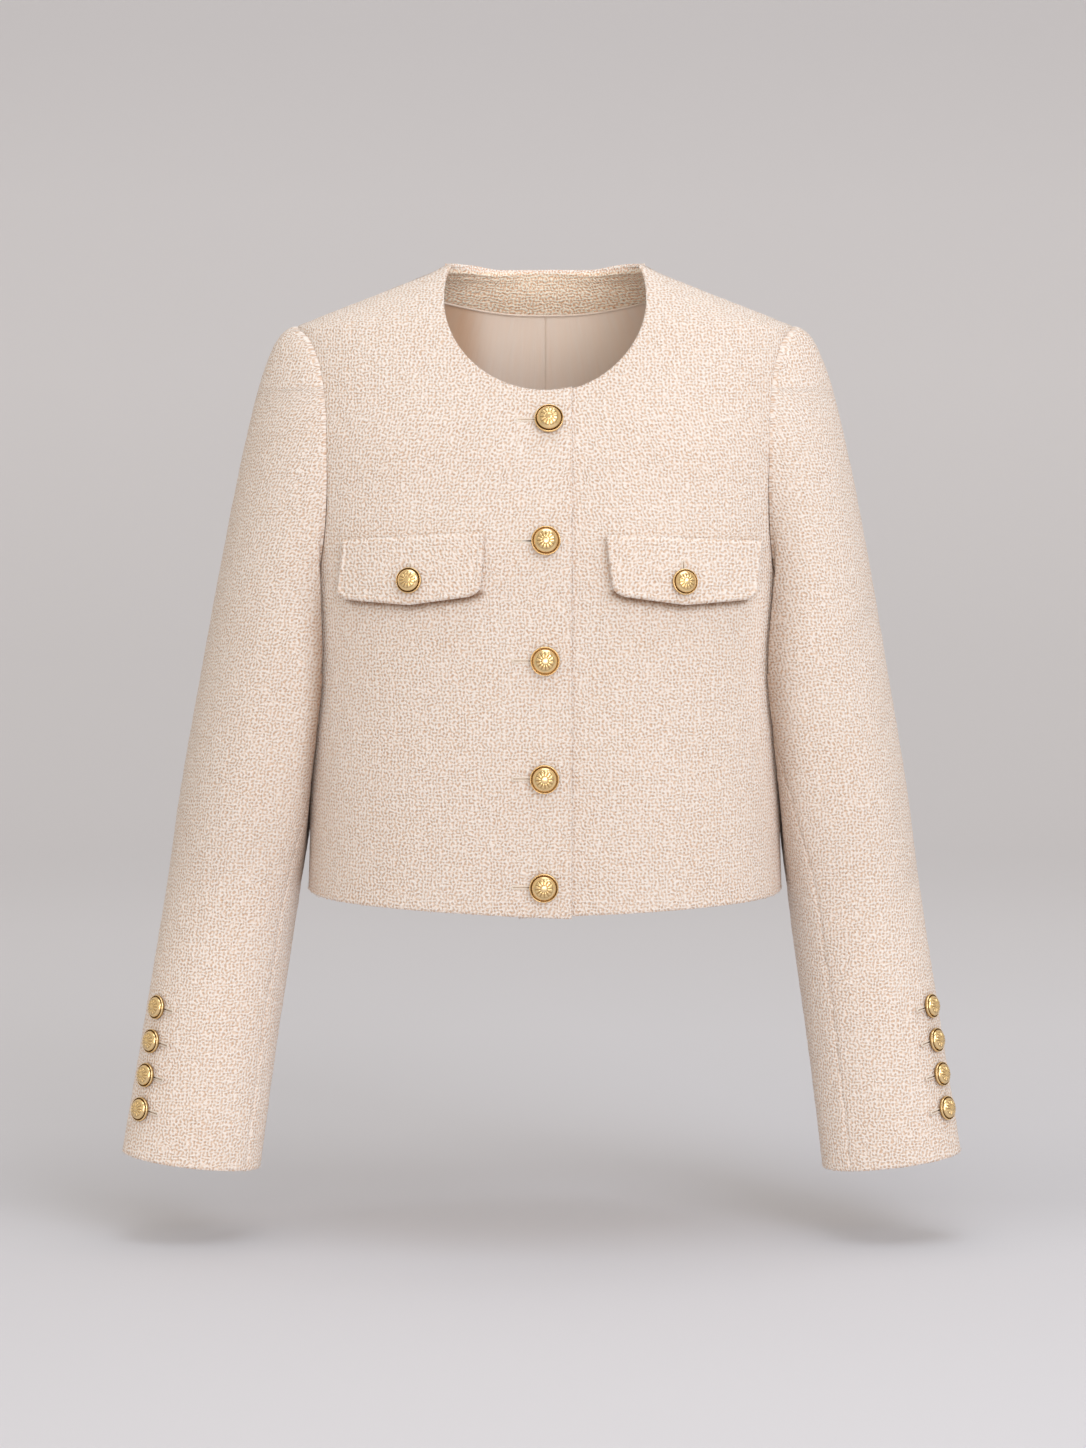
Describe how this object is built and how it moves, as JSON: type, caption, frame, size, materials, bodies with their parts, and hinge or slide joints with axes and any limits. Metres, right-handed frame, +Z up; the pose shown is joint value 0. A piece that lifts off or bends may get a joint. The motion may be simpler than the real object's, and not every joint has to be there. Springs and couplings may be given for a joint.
{
  "type": "cropped collarless tweed jacket",
  "caption": "Cropped, boxy, collarless tweed jacket with set-in tailored sleeves, pocket flaps and domed gold-tone buttons, fastened down the front and hollow as if worn.",
  "frame": {"origin": "middle of the shoulder line: level with the middle of the shoulder seams, halfway between the two shoulders and on the line between front and back", "axes": "+X to the wearer's left, the front faces -Y, +Z up"},
  "size_m": [0.606, 0.225, 0.6481],
  "materials": {
    "tweed": "cream boucle tweed, matt and nubbly",
    "facing_tweed": "the same tweed in the shade of the neck",
    "satin_lining": "soft satin sheen",
    "gold": "polished antique gold tone"
  },
  "bodies": {
    "root": {"right_front": "tweed", "left_front": "tweed", "back": "tweed", "right_upper_sleeve": "tweed", "right_under_sleeve": "tweed", "left_upper_sleeve": "tweed", "left_under_sleeve": "tweed", "right_pocket_flap": "tweed", "left_pocket_flap": "tweed", "back_neck_facing": "facing_tweed", "right_back_lining": "satin_lining", "left_back_lining": "satin_lining", "front_button_1": "gold", "front_button_2": "gold", "front_button_3": "gold", "front_button_4": "gold", "front_button_5": "gold", "right_pocket_button": "gold", "left_pocket_button": "gold", "right_cuff_button_1": "gold", "right_cuff_button_2": "gold", "right_cuff_button_3": "gold", "right_cuff_button_4": "gold", "left_cuff_button_1": "gold", "left_cuff_button_2": "gold", "left_cuff_button_3": "gold", "left_cuff_button_4": "gold"}
  },
  "joints": []
}
